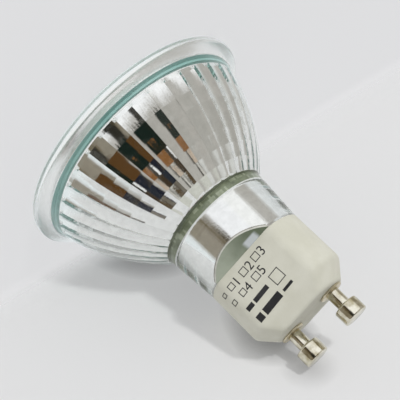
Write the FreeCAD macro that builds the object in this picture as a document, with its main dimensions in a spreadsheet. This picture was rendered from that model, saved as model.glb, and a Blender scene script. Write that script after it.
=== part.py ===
import FreeCAD, Part
import math
import os

import Sketcher

# Spotlight bulb with a two-pin bayonet cap, standing on its front rim with the pins up.
# The lamp axis is Z, the front rim lies on Z = 0, the pins stand in line along X
# and the flats of the base face -Y and +Y.

doc = FreeCAD.newDocument("spotlight_bulb")
sheet = doc.addObject("Spreadsheet::Sheet", "dims")

# Driving dimensions: millimetres, degrees for angles, plain counts
driving = {
    # clear rim of the bowl
    "rim_diameter": 50.0,
    "rim_land_height": 1.6,
    "rim_shoulder_height": 2.8,
    "rim_edge_round": 0.6,
    "rim_shoulder_round": 0.8,
    # outside of the bowl and neck
    "bowl_mouth_diameter": 45.4,
    "bowl_arc_radius": 39.0,
    "junction_diameter": 22.8,
    "junction_height": 22.4,
    "junction_round": 1.5,
    "neck_end_diameter": 21.0,
    "neck_end_height": 33.1,
    "neck_facet_height": 2.3,
    # mirrored inside of the bowl
    "glass_wall": 1.9,
    "flute_count": 36,
    "flute_edge_angle": 7.5,
    "flute_start_height": 3.4,
    "flute_runout_height": 0.7,
    "flute_end_height": 20.8,
    "first_row_length": 4.1,
    "lower_row_count": 6,
    "neck_bore_diameter": 18.0,
    "glass_floor_thickness": 2.2,
    "neck_pocket_width": 15.6,
    "neck_pocket_floor": 0.8,
    "glass_floor_hole_diameter": 14.4,
    # cover disc in the rim
    "front_glass_diameter": 44.4,
    "front_glass_thickness": 2.0,
    "front_glass_inset": 0.3,
    "front_glass_clearance": 0.1,
    "front_glass_bevel": 0.2,
    # ceramic base
    "base_height": 14.0,
    "base_flat_width": 16.0,
    "base_wall": 1.7,
    "base_floor_thickness": 4.6,
    "base_side_round": 3.0,
    "base_bevel_run": 3.0,
    "base_flat_bevel_run": 1.8,
    "base_bevel_height": 3.4,
    "base_edge_round": 0.5,
    "cement_thickness": 1.5,
    "cement_clearance": 0.05,
    "cement_ring_width": 0.7,
    # contact pins and their eyelets
    "pin_spacing": 10.0,
    "pin_head_diameter": 4.8,
    "pin_head_length": 2.9,
    "pin_head_bevel": 0.25,
    "pin_shank_diameter": 2.6,
    "pin_shank_length": 3.5,
    "pin_rivet_diameter": 3.8,
    "pin_rivet_thickness": 0.6,
    "eyelet_flange_diameter": 4.8,
    "eyelet_flange_thickness": 0.4,
    "eyelet_wall": 0.4,
    "eyelet_bevel": 0.2,
    "eyelet_clearance": 0.05,
    # light source
    "spreader_front_height": 20.0,
    "spreader_front_thickness": 1.5,
    "spreader_wall": 1.2,
    "spreader_clearance": 0.2,
    "led_board_margin": 0.4,
    "led_board_thickness": 1.0,
    "led_package_width": 11.0,
    "led_package_thickness": 0.8,
    "led_dam_diameter": 10.4,
    "led_dam_width": 0.6,
    "led_dam_height": 0.6,
    "led_phosphor_inset": 0.2,
    "led_lead_spacing": 5.0,
    "led_lead_diameter": 0.9,
    "led_lead_clearance": 0.5,
    # driver
    "board_thickness": 1.0,
    "board_edge_margin": 0.6,
    "board_front_gap": 2.5,
    "board_tongue_clearance": 0.1,
    "board_tongue_length": 2.5,
    "part_end_gap": 0.6,
    "part_wall_gap": 0.8,
    "smoothing_capacitor_length": 6.6,
    "capacitor_bevel": 0.3,
    "output_capacitor_diameter": 4.0,
    "output_capacitor_length": 4.6,
    "output_capacitor_shift": 2.6,
    "choke_length": 6.0,
    "choke_cheek": 1.0,
    "choke_waist_depth": 0.7,
    "rectifier_width": 3.6,
    "rectifier_length": 4.4,
    "rectifier_thickness": 1.6,
    "rectifier_shift": 2.6,
    "chip_width": 3.9,
    "chip_length": 4.9,
    "chip_thickness": 1.5,
    "package_draft": 0.25,
    "fuse_diameter": 2.2,
    "fuse_length": 5.0,
    "fuse_cap_length": 1.2,
    "fuse_waist_depth": 0.2,
    "pin_lead_diameter": 0.8,
    "pin_lead_inset": 0.6,
}
for row, (alias, number) in enumerate(driving.items(), start=1):
    sheet.set(f"A{row}", alias)
    sheet.set(f"B{row}", str(number))
    sheet.setAlias(f"B{row}", alias)
doc.recompute()


def size(expression):
    """Number that an expression on the sheet stands for."""
    return float(sheet.evalExpression(expression))


# Places that several pieces share, as expressions on the sheet
rim_radius = "dims.rim_diameter / 2"
mouth_radius = "dims.bowl_mouth_diameter / 2"
junction_radius = "dims.junction_diameter / 2"
neck_radius = "dims.neck_end_diameter / 2"
bore_radius = "dims.neck_bore_diameter / 2"
glass_end = "dims.neck_end_height"
glass_floor = f"({glass_end} - dims.glass_floor_thickness)"
seat_height = "(dims.front_glass_inset + dims.front_glass_thickness)"
flat_half = "dims.base_flat_width / 2"
base_foot = f"({glass_end} + dims.base_height)"
base_floor = f"({base_foot} - dims.base_floor_thickness)"
hollow_radius = f"({neck_radius} - dims.base_wall)"
hollow_half = f"({flat_half} - dims.base_wall)"
shank_radius = "dims.pin_shank_diameter / 2"
eyelet_bore = f"({shank_radius} + dims.eyelet_clearance)"
eyelet_radius = f"({eyelet_bore} + dims.eyelet_wall)"
eyelet_face = f"({base_foot} + dims.eyelet_flange_thickness)"
head_start = f"({base_foot} + dims.pin_shank_length)"
pin_tip = f"({head_start} + dims.pin_head_length)"
rivet_end = f"({base_floor} - dims.pin_rivet_thickness)"
spreader_front = "dims.spreader_front_height"
spreader_back = f"({spreader_front} + dims.spreader_front_thickness)"
spreader_radius = f"({bore_radius} - dims.spreader_clearance)"
led_board_front = f"({spreader_front} - dims.led_board_thickness)"
package_front = f"({led_board_front} - dims.led_package_thickness)"
board_front = f"({spreader_back} + dims.board_front_gap)"
board_shoulder = f"({base_floor} - dims.board_tongue_length)"
board_face = "dims.board_thickness / 2"
pin_lead_place = "(dims.pin_spacing / 2 - dims.pin_lead_inset)"
base_part_top = f"({base_floor} - dims.part_end_gap)"
base_part_radius = f"({hollow_half} - {board_face} - dims.part_wall_gap) / 2"
neck_part_bottom = f"({board_front} + dims.part_end_gap)"
choke_bottom = f"({base_part_top} - dims.choke_length)"


def origin_plane(body, role):
    return next(plane for plane in body.Origin.OriginFeatures if plane.Role == role)


def new_sketch(body, name, role, offset=None):
    """Sketch on one of the body's own origin planes, lifted off it by an expression."""
    sketch = body.newObject("Sketcher::SketchObject", name)
    sketch.AttachmentSupport = (origin_plane(body, role), [""])
    sketch.MapMode = "FlatFace"
    if offset:
        sketch.setExpression("AttachmentOffset.Base.z", offset)
    return sketch


def bind(sketch, constraint, expression):
    index = sketch.addConstraint(constraint)
    sketch.setExpression(f"Constraints[{index}]", expression)


def place_point(sketch, geometry, end, across, up):
    """Fix one point of a sketch by expressions for its two coordinates."""
    vertical_axis, horizontal_axis = -2, -1
    for kind, axis, expression in (("DistanceX", vertical_axis, across), ("DistanceY", horizontal_axis, up)):
        if expression == "0":
            sketch.addConstraint(Sketcher.Constraint("PointOnObject", geometry, end, axis))
        else:
            rule = Sketcher.Constraint(kind, -1, 1, geometry, end, size(expression))
            bind(sketch, rule, expression)


def arc_centre(start, end, radius):
    """Centre of the counterclockwise arc of that radius, less than half a turn, between two points."""
    span = end - start
    lift = math.sqrt(radius ** 2 - span.Length ** 2 / 4)
    inward = FreeCAD.Vector(-span.y, span.x, 0).normalize()
    return (start + end) * 0.5 + inward * lift


def outline(sketch, points, arcs=None):
    """Closed outline through points given as expressions. arcs maps a stretch to its radius."""
    arcs = arcs or {}
    spots = [FreeCAD.Vector(size(across), size(up), 0) for across, up in points]
    count = len(spots)
    for index, start in enumerate(spots):
        end = spots[(index + 1) % count]
        if index in arcs:
            radius = size(arcs[index])
            centre = arc_centre(start, end, radius)
            turns = [math.atan2(spot.y - centre.y, spot.x - centre.x) for spot in (start, end)]
            circle = Part.Circle(centre, FreeCAD.Vector(0, 0, 1), radius)
            sketch.addGeometry(Part.ArcOfCircle(circle, *turns))
        else:
            sketch.addGeometry(Part.LineSegment(start, end))
    for index in range(count):
        sketch.addConstraint(Sketcher.Constraint("Coincident", index, 2, (index + 1) % count, 1))
    for index, (across, up) in enumerate(points):
        place_point(sketch, index, 1, across, up)
    for index, radius in arcs.items():
        bind(sketch, Sketcher.Constraint("Radius", index, size(radius)), radius)


def circle(sketch, across, up, radius):
    """Circle whose centre and radius are expressions."""
    spot = FreeCAD.Vector(size(across), size(up), 0)
    index = sketch.addGeometry(Part.Circle(spot, FreeCAD.Vector(0, 0, 1), size(radius)))
    place_point(sketch, index, 3, across, up)
    bind(sketch, Sketcher.Constraint("Radius", index, size(radius)), radius)


def flatted_circle(sketch, radius, half):
    """Circle with two flats, half of their distance from the centre each."""
    reach = math.sqrt(size(radius) ** 2 - size(half) ** 2)
    turn = math.atan2(size(half), reach)
    round_end = Part.Circle(FreeCAD.Vector(), FreeCAD.Vector(0, 0, 1), size(radius))
    corners = [FreeCAD.Vector(x * reach, y * size(half), 0) for x, y in ((1, 1), (-1, 1), (-1, -1), (1, -1))]
    sketch.addGeometry(Part.ArcOfCircle(round_end, -turn, turn))
    sketch.addGeometry(Part.LineSegment(corners[0], corners[1]))
    sketch.addGeometry(Part.ArcOfCircle(round_end, math.pi - turn, math.pi + turn))
    sketch.addGeometry(Part.LineSegment(corners[2], corners[3]))
    for index in range(4):
        sketch.addConstraint(Sketcher.Constraint("Coincident", index, 2, (index + 1) % 4, 1))
    for arc in (0, 2):
        sketch.addConstraint(Sketcher.Constraint("Coincident", arc, 3, -1, 1))
        bind(sketch, Sketcher.Constraint("Radius", arc, size(radius)), radius)
    for line in (1, 3):
        sketch.addConstraint(Sketcher.Constraint("Horizontal", line))
    bind(sketch, Sketcher.Constraint("DistanceY", -1, 1, 1, 1, size(half)), half)
    bind(sketch, Sketcher.Constraint("DistanceY", 3, 1, -1, 1, size(half)), half)


def turned(label, points, arcs=None):
    """Body turned about Z from a profile of radius and height."""
    body = doc.addObject("PartDesign::Body", label)
    profile = new_sketch(body, f"{label}_profile", "XZ_Plane")
    outline(profile, points, arcs)
    turn = body.newObject("PartDesign::Revolution", f"{label}_turn")
    turn.Profile = profile
    turn.ReferenceAxis = (profile, ["V_Axis"])
    turn.Angle = 360
    doc.recompute()
    return body


def cut_through(body, name, sketch):
    """Pocket right through the body, both ways from the sketch."""
    pocket = body.newObject("PartDesign::Pocket", name)
    pocket.Profile = sketch
    pocket.SideType = "Symmetric"
    pocket.Type = "ThroughAll"
    doc.recompute()
    return pocket


def mirror(body, name, feature, role):
    copy = body.newObject("PartDesign::Mirrored", name)
    copy.Originals = [feature]
    copy.MirrorPlane = (origin_plane(body, role), [""])
    body.Tip = copy
    doc.recompute()


def round_edges(body, name, chosen, radius):
    """Fillet on the edges of the body's last feature that pass a test."""
    last = body.Tip
    edges = [f"Edge{number}" for number, edge in enumerate(last.Shape.Edges, start=1) if chosen(edge)]
    fillet = body.newObject("PartDesign::Fillet", name)
    fillet.Base = (last, edges)
    fillet.setExpression("Radius", radius)
    doc.recompute()


def is_ring(edge, radius, height):
    """Whether an edge is the full circle of that radius and height about Z."""
    near = 0.001
    if not isinstance(edge.Curve, Part.Circle):
        return False
    return abs(edge.Curve.Radius - radius) < near and abs(edge.CenterOfMass.z - height) < near


def place(piece, x="0", y="0", z="0"):
    for axis, expression in (("x", x), ("y", y), ("z", z)):
        if expression != "0":
            piece.setExpression(f"Placement.Base.{axis}", expression)


def cylinder(name, radius, bottom, top, x="0", y="0"):
    piece = doc.addObject("Part::Cylinder", name)
    piece.setExpression("Radius", radius)
    piece.setExpression("Height", f"{top} - {bottom}")
    place(piece, x, y, bottom)
    return piece


def centred_box(name, width, depth, bottom, top, y="0"):
    """Box centred on X, with its near face at y."""
    piece = doc.addObject("Part::Box", name)
    piece.setExpression("Length", width)
    piece.setExpression("Width", depth)
    piece.setExpression("Height", f"{top} - {bottom}")
    place(piece, f"-{width} / 2", y, bottom)
    return piece


def fused(name, pieces):
    joined = doc.addObject("Part::MultiFuse", name)
    joined.Shapes = pieces
    return joined


def flute_section(name, radius, height, smooth=False):
    """Ring of lobes that bulge towards the axis between cusps on the radius, or the circle inside them."""
    count = round(size("dims.flute_count"))
    half_pitch = math.pi / count
    edge_angle = math.radians(size("dims.flute_edge_angle"))
    bulge = radius * math.sin(half_pitch) * math.tan(edge_angle / 2)
    lobe_radius = radius * math.cos(half_pitch) - bulge
    cusp_radius = lobe_radius if smooth else radius

    def spot(ring_radius, half_pitches):
        turn = half_pitch * half_pitches
        return FreeCAD.Vector(ring_radius * math.cos(turn), ring_radius * math.sin(turn), height)

    arcs = []
    for lobe in range(count):
        start = spot(cusp_radius, 2 * lobe)
        middle = spot(lobe_radius, 2 * lobe + 1)
        end = spot(cusp_radius, 2 * lobe + 2)
        arcs.append(Part.Arc(start, middle, end).toShape())
    section = doc.addObject("Part::Feature", name)
    section.Shape = Part.Wire(arcs)
    return section, lobe_radius


def fluted_cavity():
    """Mirrored hollow of the bowl: rows of lobes on an arc one wall inside the outer arc."""
    start = FreeCAD.Vector(size(mouth_radius), size("dims.rim_shoulder_height"), 0)
    end = FreeCAD.Vector(size(junction_radius), size("dims.junction_height"), 0)
    outer_radius = size("dims.bowl_arc_radius")
    centre = arc_centre(start, end, outer_radius)
    inner_radius = outer_radius - size("dims.glass_wall")

    def turn_at(height):
        return math.asin((height - centre.y) / inner_radius)

    start_height = size("dims.flute_start_height")
    first_turn = turn_at(start_height)
    runout_turn = turn_at(start_height + size("dims.flute_runout_height"))
    row_turn = first_turn + size("dims.first_row_length") / inner_radius
    last_turn = turn_at(size("dims.flute_end_height"))
    rows = round(size("dims.lower_row_count"))
    step = (last_turn - row_turn) / rows
    turns = [first_turn, runout_turn] + [row_turn + step * row for row in range(rows + 1)]
    sections = []
    for index, turn in enumerate(turns):
        radius = centre.x + inner_radius * math.cos(turn)
        height = centre.y + inner_radius * math.sin(turn)
        section, lobe_radius = flute_section(f"flute_ring_{index}", radius, height, smooth=index == 0)
        if index == 0:
            band_radius = lobe_radius
        sections.append(section)
    flutes = doc.addObject("Part::Loft", "flutes")
    flutes.Sections = sections
    flutes.Solid = True
    flutes.Ruled = True
    band = doc.addObject("Part::Cylinder", "smooth_band")
    band.Radius = band_radius
    band.setExpression("Height", "dims.flute_start_height")
    seat_radius = "dims.front_glass_diameter / 2 + dims.front_glass_clearance"
    seat = cylinder("front_glass_seat", seat_radius, "0", seat_height)
    bore = cylinder("neck_bore", bore_radius, seat_height, glass_floor)
    # Past the floor that carries the cup, a flatted pocket keeps clear of the slanted facets
    pocket_floor = f"({glass_end} - dims.neck_pocket_floor)"
    pocket = doc.addObject("Part::MultiCommon", "neck_pocket")
    pocket.Shapes = [
        cylinder("neck_pocket_round", bore_radius, seat_height, pocket_floor),
        centred_box("neck_pocket_flats", "dims.neck_bore_diameter", "dims.neck_pocket_width", seat_height, pocket_floor,
                    y="-dims.neck_pocket_width / 2"),
    ]
    hole = cylinder("glass_floor_hole", "dims.glass_floor_hole_diameter / 2", seat_height, base_foot)
    return fused("bowl_hollow", [seat, band, flutes, bore, pocket, hole])


def reflector_bowl():
    """Pressed-glass bowl with its rim, neck and slanted facets, smooth outside and fluted inside."""
    blank = turned("bowl_blank", [
        ("0", "0"),
        (rim_radius, "0"),
        (rim_radius, "dims.rim_land_height"),
        (mouth_radius, "dims.rim_shoulder_height"),
        (junction_radius, "dims.junction_height"),
        (neck_radius, glass_end),
        ("0", glass_end),
    ], arcs={3: "dims.bowl_arc_radius"})
    rim_rings = ((size(rim_radius), 0.0), (size(rim_radius), size("dims.rim_land_height")))
    round_edges(blank, "rim_round", lambda edge: any(is_ring(edge, *ring) for ring in rim_rings),
                "dims.rim_edge_round")
    shoulder = (size(mouth_radius), size("dims.rim_shoulder_height"))
    round_edges(blank, "shoulder_round", lambda edge: is_ring(edge, *shoulder), "dims.rim_shoulder_round")
    junction = (size(junction_radius), size("dims.junction_height"))
    round_edges(blank, "junction_round", lambda edge: is_ring(edge, *junction), "dims.junction_round")
    # The facet falls from the flat of the base to the outside of the neck and on past it
    run = f"({neck_radius} - {flat_half})"
    far_side = f"({flat_half} + 2 * {run})"
    facet_sketch = new_sketch(blank, "facet_side", "YZ_Plane")
    outline(facet_sketch, [
        (flat_half, glass_end),
        (far_side, f"{glass_end} - 2 * dims.neck_facet_height"),
        (far_side, glass_end),
    ])
    facet = cut_through(blank, "facet", facet_sketch)
    mirror(blank, "facet_mirrored", facet, "XZ_Plane")
    bowl = doc.addObject("Part::Cut", "reflector_bowl")
    bowl.Base = blank
    bowl.Tool = fluted_cavity()
    return bowl


def front_glass():
    radius = "dims.front_glass_diameter / 2"
    bevel = "dims.front_glass_bevel"
    low = "dims.front_glass_inset"
    return turned("front_glass", [
        ("0", low),
        (f"{radius} - {bevel}", low),
        (radius, f"{low} + {bevel}"),
        (radius, f"{seat_height} - {bevel}"),
        (f"{radius} - {bevel}", seat_height),
        ("0", seat_height),
    ])


def bevel_corners(reach, run):
    """Corners of the wedge that a bevel cuts off, from the foot of the base outwards."""
    return [
        (f"{reach} - {run}", base_foot),
        (f"{reach} + {run}", f"{base_foot} - 2 * dims.base_bevel_height"),
        (f"{reach} + {run}", base_foot),
    ]


def base_cap():
    """Ceramic base: round with two flats, bevelled all round towards the pins, hollow towards the glass."""
    body = doc.addObject("PartDesign::Body", "base_cap")
    plan = new_sketch(body, "base_plan", "XY_Plane", glass_end)
    flatted_circle(plan, neck_radius, flat_half)
    block = body.newObject("PartDesign::Pad", "base_block")
    block.Profile = plan
    block.setExpression("Length", "dims.base_height")
    doc.recompute()
    top, foot = size(glass_end), size(base_foot)
    middle = (top + foot) / 2
    round_edges(body, "base_sides", lambda edge: abs(edge.CenterOfMass.z - middle) < 0.001, "dims.base_side_round")
    end_sketch = new_sketch(body, "base_end_bevel_side", "XZ_Plane")
    outline(end_sketch, bevel_corners(neck_radius, "dims.base_bevel_run"))
    groove = body.newObject("PartDesign::Groove", "base_end_bevel")
    groove.Profile = end_sketch
    groove.ReferenceAxis = (end_sketch, ["V_Axis"])
    groove.Angle = 360
    doc.recompute()
    flat_sketch = new_sketch(body, "base_flat_bevel_side", "YZ_Plane")
    outline(flat_sketch, bevel_corners(flat_half, "dims.base_flat_bevel_run"))
    bevel = cut_through(body, "base_flat_bevel", flat_sketch)
    mirror(body, "base_flat_bevel_mirrored", bevel, "XZ_Plane")
    round_edges(body, "base_foot_round", lambda edge: abs(edge.BoundBox.ZMin - foot) < 0.001, "dims.base_edge_round")
    hollow_plan = new_sketch(body, "base_hollow_plan", "XY_Plane", glass_end)
    flatted_circle(hollow_plan, hollow_radius, hollow_half)
    hollow = body.newObject("PartDesign::Pocket", "base_hollow")
    hollow.Profile = hollow_plan
    hollow.Reversed = True
    hollow.setExpression("Length", "dims.base_height - dims.base_floor_thickness")
    doc.recompute()
    holes = new_sketch(body, "pin_holes_plan", "XY_Plane")
    for side in ("", "-"):
        circle(holes, f"{side}dims.pin_spacing / 2", "0", f"{eyelet_radius} + dims.eyelet_clearance")
    cut_through(body, "pin_holes", holes)
    return body


def base_cement():
    body = doc.addObject("PartDesign::Body", "base_cement")
    plan = new_sketch(body, "cement_plan", "XY_Plane", glass_end)
    flatted_circle(plan, f"({hollow_radius} - dims.cement_clearance)", f"({hollow_half} - dims.cement_clearance)")
    circle(plan, "0", "0", f"{hollow_half} - dims.cement_ring_width")
    fill = body.newObject("PartDesign::Pad", "cement_fill")
    fill.Profile = plan
    fill.setExpression("Length", "dims.cement_thickness")
    return body


def pin_set(number, side):
    """One contact pin with its eyelet and its lead to the driver board."""
    head_radius = "dims.pin_head_diameter / 2"
    bevel = "dims.pin_head_bevel"
    rivet_radius = "dims.pin_rivet_diameter / 2"
    pin = turned(f"contact_pin_{number}", [
        ("0", rivet_end),
        (rivet_radius, rivet_end),
        (rivet_radius, base_floor),
        (shank_radius, base_floor),
        (shank_radius, head_start),
        (f"{head_radius} - {bevel}", head_start),
        (head_radius, f"{head_start} + {bevel}"),
        (head_radius, f"{pin_tip} - {bevel}"),
        (f"{head_radius} - {bevel}", pin_tip),
        ("0", pin_tip),
    ])
    flange_radius = "dims.eyelet_flange_diameter / 2"
    eyelet = turned(f"pin_eyelet_{number}", [
        (eyelet_bore, base_floor),
        (eyelet_radius, base_floor),
        (eyelet_radius, base_foot),
        (flange_radius, base_foot),
        (flange_radius, f"{eyelet_face} - dims.eyelet_bevel"),
        (f"{flange_radius} - dims.eyelet_bevel", eyelet_face),
        (eyelet_bore, eyelet_face),
    ])
    for piece in (pin, eyelet):
        place(piece, x=f"{side}dims.pin_spacing / 2")
    lead_x = f"{side}{pin_lead_place}"
    lead = cylinder(f"pin_lead_{number}", "dims.pin_lead_diameter / 2", board_shoulder, rivet_end, x=lead_x)
    return [pin, eyelet, lead]


def led_lead(number, side):
    lead_x = f"{side}dims.led_lead_spacing / 2"
    return cylinder(f"led_lead_{number}", "dims.led_lead_diameter / 2", spreader_front, board_front, x=lead_x)


def heat_spreader():
    """Aluminium cup in the neck: a closed front for the light source and a skirt down to the glass floor."""
    inner_radius = f"{spreader_radius} - dims.spreader_wall"
    cup = turned("heat_spreader", [
        ("0", spreader_front),
        (spreader_radius, spreader_front),
        (spreader_radius, glass_floor),
        (inner_radius, glass_floor),
        (inner_radius, spreader_back),
        ("0", spreader_back),
    ])
    holes = new_sketch(cup, "lead_holes_plan", "XY_Plane")
    hole_radius = "dims.led_lead_diameter / 2 + dims.led_lead_clearance"
    for side in ("", "-"):
        circle(holes, f"{side}dims.led_lead_spacing / 2", "0", hole_radius)
    cut_through(cup, "lead_holes", holes)
    return cup


def led_board():
    radius = f"({spreader_radius} - dims.led_board_margin)"
    return cylinder("led_board", radius, led_board_front, spreader_front)


def cob_led():
    """Chip-on-board light source: square carrier with a round dam full of phosphor."""
    width = "dims.led_package_width"
    carrier = centred_box("led_carrier", width, width, package_front, led_board_front, y=f"-{width} / 2")
    dam_front = f"({package_front} - dims.led_dam_height)"
    dam_radius = "dims.led_dam_diameter / 2"
    dam = cylinder("led_dam", dam_radius, dam_front, package_front)
    well_radius = f"({dam_radius} - dims.led_dam_width)"
    well = cylinder("led_well", well_radius, dam_front, f"({dam_front} + dims.led_phosphor_inset)")
    package = doc.addObject("Part::Cut", "cob_led")
    package.Base = fused("led_block", [carrier, dam])
    package.Tool = well
    return package


def driver_board():
    """Board that stands in the neck and base, with a tongue that seats on the floor of the base."""
    depth = "dims.board_thickness"
    near = f"-{board_face}"
    width = f"(2 * {pin_lead_place} + 2 * dims.board_edge_margin)"
    tongue_width = "(dims.pin_spacing - dims.pin_rivet_diameter - 2 * dims.board_tongue_clearance)"
    field = centred_box("board_field", width, depth, board_front, board_shoulder, y=near)
    tongue = centred_box("board_tongue", tongue_width, depth, board_front, base_floor, y=near)
    return fused("driver_board", [field, tongue])


def capacitor(name, bottom, top, radius, x="0"):
    """Round can beside the board, with bevelled ends."""
    bevel = "dims.capacitor_bevel"
    can = turned(name, [
        ("0", bottom),
        (f"{radius} - {bevel}", bottom),
        (radius, f"{bottom} + {bevel}"),
        (radius, f"{top} - {bevel}"),
        (f"{radius} - {bevel}", top),
        ("0", top),
    ])
    place(can, x=x, y=f"{board_face} + {radius}")
    return can


def buck_choke():
    """Drum core: two cheeks with the winding between them."""
    radius = base_part_radius
    waist = f"{radius} - dims.choke_waist_depth"
    low = choke_bottom
    high = base_part_top
    drum = turned("buck_choke", [
        ("0", low),
        (radius, low),
        (radius, f"{low} + dims.choke_cheek"),
        (waist, f"{low} + dims.choke_cheek"),
        (waist, f"{high} - dims.choke_cheek"),
        (radius, f"{high} - dims.choke_cheek"),
        (radius, high),
        ("0", high),
    ])
    place(drum, y=f"-({board_face} + {radius})")
    return drum


def moulded_package(label, stem, x, side):
    """Moulded chip body that tapers away from the board on the side given."""
    body = doc.addObject("Part::Wedge", label)
    draft = "dims.package_draft"
    width = f"dims.{stem}_width"
    length = f"dims.{stem}_length"
    thickness = f"dims.{stem}_thickness"
    seat = board_face
    ahead = side > 0
    near, far = (seat, f"{seat} + {thickness}") if ahead else (f"-({seat} + {thickness})", f"-{seat}")
    limits = {
        "Xmin": f"-{width} / 2", "Xmax": f"{width} / 2",
        "X2min": f"-{width} / 2", "X2max": f"{width} / 2",
        "Zmin": "0", "Zmax": length, "Z2min": "0", "Z2max": length,
        "Ymin": near, "Ymax": far,
    }
    # The face away from the board is smaller all round by the draft
    tapered = ("X2min", "X2max", "Z2min", "Z2max") if ahead else ("Xmin", "Xmax", "Zmin", "Zmax")
    for name in tapered:
        sign = "+" if name.endswith("min") else "-"
        limits[name] = f"{limits[name]} {sign} {draft}"
    for name, expression in limits.items():
        if expression == "0":
            setattr(body, name, 0)
        else:
            body.setExpression(name, expression)
    place(body, x=x, z=neck_part_bottom)
    return body


def fuse_resistor():
    """Axial resistor across the board, midway between the driver chip and the choke."""
    radius = "dims.fuse_diameter / 2"
    waist = f"{radius} - dims.fuse_waist_depth"
    cap = "dims.fuse_cap_length"
    half = "dims.fuse_length / 2"
    rod = turned("fuse_resistor", [
        ("0", f"-{half}"),
        (radius, f"-{half}"),
        (radius, f"-{half} + {cap}"),
        (waist, f"-{half} + {cap}"),
        (waist, f"{half} - {cap}"),
        (radius, f"{half} - {cap}"),
        (radius, half),
        ("0", half),
    ])
    rod.Placement.Rotation = FreeCAD.Rotation(FreeCAD.Vector(0, 1, 0), 90)
    place(rod, y=f"-({board_face} + {radius})", z=f"({neck_part_bottom} + dims.chip_length + {choke_bottom}) / 2")
    return rod


def driver_parts():
    big_bottom = f"({base_part_top} - dims.smoothing_capacitor_length)"
    small_top = f"({neck_part_bottom} + dims.output_capacitor_length)"
    small_radius = "dims.output_capacitor_diameter / 2"
    return [
        capacitor("smoothing_capacitor", big_bottom, base_part_top, base_part_radius),
        capacitor("output_capacitor", neck_part_bottom, small_top, small_radius, x="dims.output_capacitor_shift"),
        buck_choke(),
        moulded_package("bridge_rectifier", "rectifier", "-dims.rectifier_shift", 1),
        moulded_package("driver_chip", "chip", "0", -1),
        fuse_resistor(),
    ]


pieces = [reflector_bowl(), front_glass(), base_cap(), base_cement()]
pieces += [heat_spreader(), led_board(), cob_led(), driver_board()]
pieces += driver_parts()
for number, side in enumerate(("-", ""), start=1):
    pieces += pin_set(number, side)
    pieces.append(led_lead(number, side))
doc.recompute()

for item in doc.Objects:
    if {"Invalid", "Error"} & set(item.State):
        raise RuntimeError(f"{item.Label} failed: {item.State}")
os.makedirs("parts", exist_ok=True)
for piece in pieces:
    if piece.Shape.isNull() or not piece.Shape.isValid():
        raise RuntimeError(f"{piece.Label} has no valid shape")
for piece in pieces:
    piece.Shape.exportStep(f"parts/{piece.Label}.step")
    print(piece.Label, len(piece.Shape.Solids), round(piece.Shape.Volume, 2))
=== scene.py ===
import math

import bpy
import numpy as np
from mathutils import Matrix, Vector


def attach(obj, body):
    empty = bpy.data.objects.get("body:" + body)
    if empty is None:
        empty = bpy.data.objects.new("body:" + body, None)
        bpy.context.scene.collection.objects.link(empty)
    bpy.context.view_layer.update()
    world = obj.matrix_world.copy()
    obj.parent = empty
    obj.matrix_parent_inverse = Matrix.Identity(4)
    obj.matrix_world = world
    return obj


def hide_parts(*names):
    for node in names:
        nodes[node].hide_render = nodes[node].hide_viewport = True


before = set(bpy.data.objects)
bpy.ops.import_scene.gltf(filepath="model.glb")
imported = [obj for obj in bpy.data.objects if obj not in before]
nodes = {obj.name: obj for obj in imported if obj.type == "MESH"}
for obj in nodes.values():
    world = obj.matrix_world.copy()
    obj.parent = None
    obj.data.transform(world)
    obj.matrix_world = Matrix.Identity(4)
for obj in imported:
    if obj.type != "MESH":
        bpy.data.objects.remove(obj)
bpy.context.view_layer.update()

mm = 0.001
turn = 2 * math.pi
print("frame loaded:", len(nodes), "nodes")


# mesh helpers

def ringPoints(radius, height, around):
    # grid of points (r cos t, r sin t, z), one row for each row of radius and height
    x, y = radius * np.cos(around), radius * np.sin(around)
    return np.stack([x, y, np.broadcast_to(height, x.shape)], axis=-1).reshape(-1, 3)


def ringFaces(rows, columns, closed=False):
    # quads between neighbouring rows of a ring grid, columns wrap round, rows wrap when closed
    row, column = np.meshgrid(np.arange(rows if closed else rows - 1), np.arange(columns), indexing="ij")
    nextRow = (row + 1) % rows
    nextColumn = (column + 1) % columns
    corners = [row * columns + column, row * columns + nextColumn,
               nextRow * columns + nextColumn, nextRow * columns + column]
    return np.stack(corners, axis=-1).reshape(-1, 4)


def poleFans(rows, columns):
    # triangles that close the first and the last row, to the two points that follow the grid
    here = np.arange(columns)
    after = (here + 1) % columns
    last = (rows - 1) * columns
    low, high = rows * columns, rows * columns + 1
    return np.concatenate([np.stack([np.full(columns, low), after, here], axis=-1),
                           np.stack([np.full(columns, high), last + here, last + after], axis=-1)])


def makePiece(name, points, faces, slots, materials):
    # points in millimetres, faces as index arrays of one width each, slots one number for each face
    mesh = bpy.data.meshes.new(name)
    loops = np.concatenate([block.ravel() for block in faces]).astype(np.int32)
    widths = np.concatenate([np.full(len(block), block.shape[1]) for block in faces])
    starts = (np.cumsum(widths) - widths).astype(np.int32)
    mesh.vertices.add(len(points))
    mesh.vertices.foreach_set("co", (points * mm).astype(np.float32).ravel())
    mesh.loops.add(len(loops))
    mesh.loops.foreach_set("vertex_index", loops)
    mesh.polygons.add(len(widths))
    mesh.polygons.foreach_set("loop_start", starts)
    mesh.polygons.foreach_set("use_smooth", np.ones(len(widths), bool))
    for material in materials:
        mesh.materials.append(material)
    mesh.polygons.foreach_set("material_index", np.asarray(slots, np.int32))
    mesh.update(calc_edges=True)
    mesh.validate()
    piece = bpy.data.objects.new(name, mesh)
    bpy.context.scene.collection.objects.link(piece)
    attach(piece, "root")
    return piece


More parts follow.
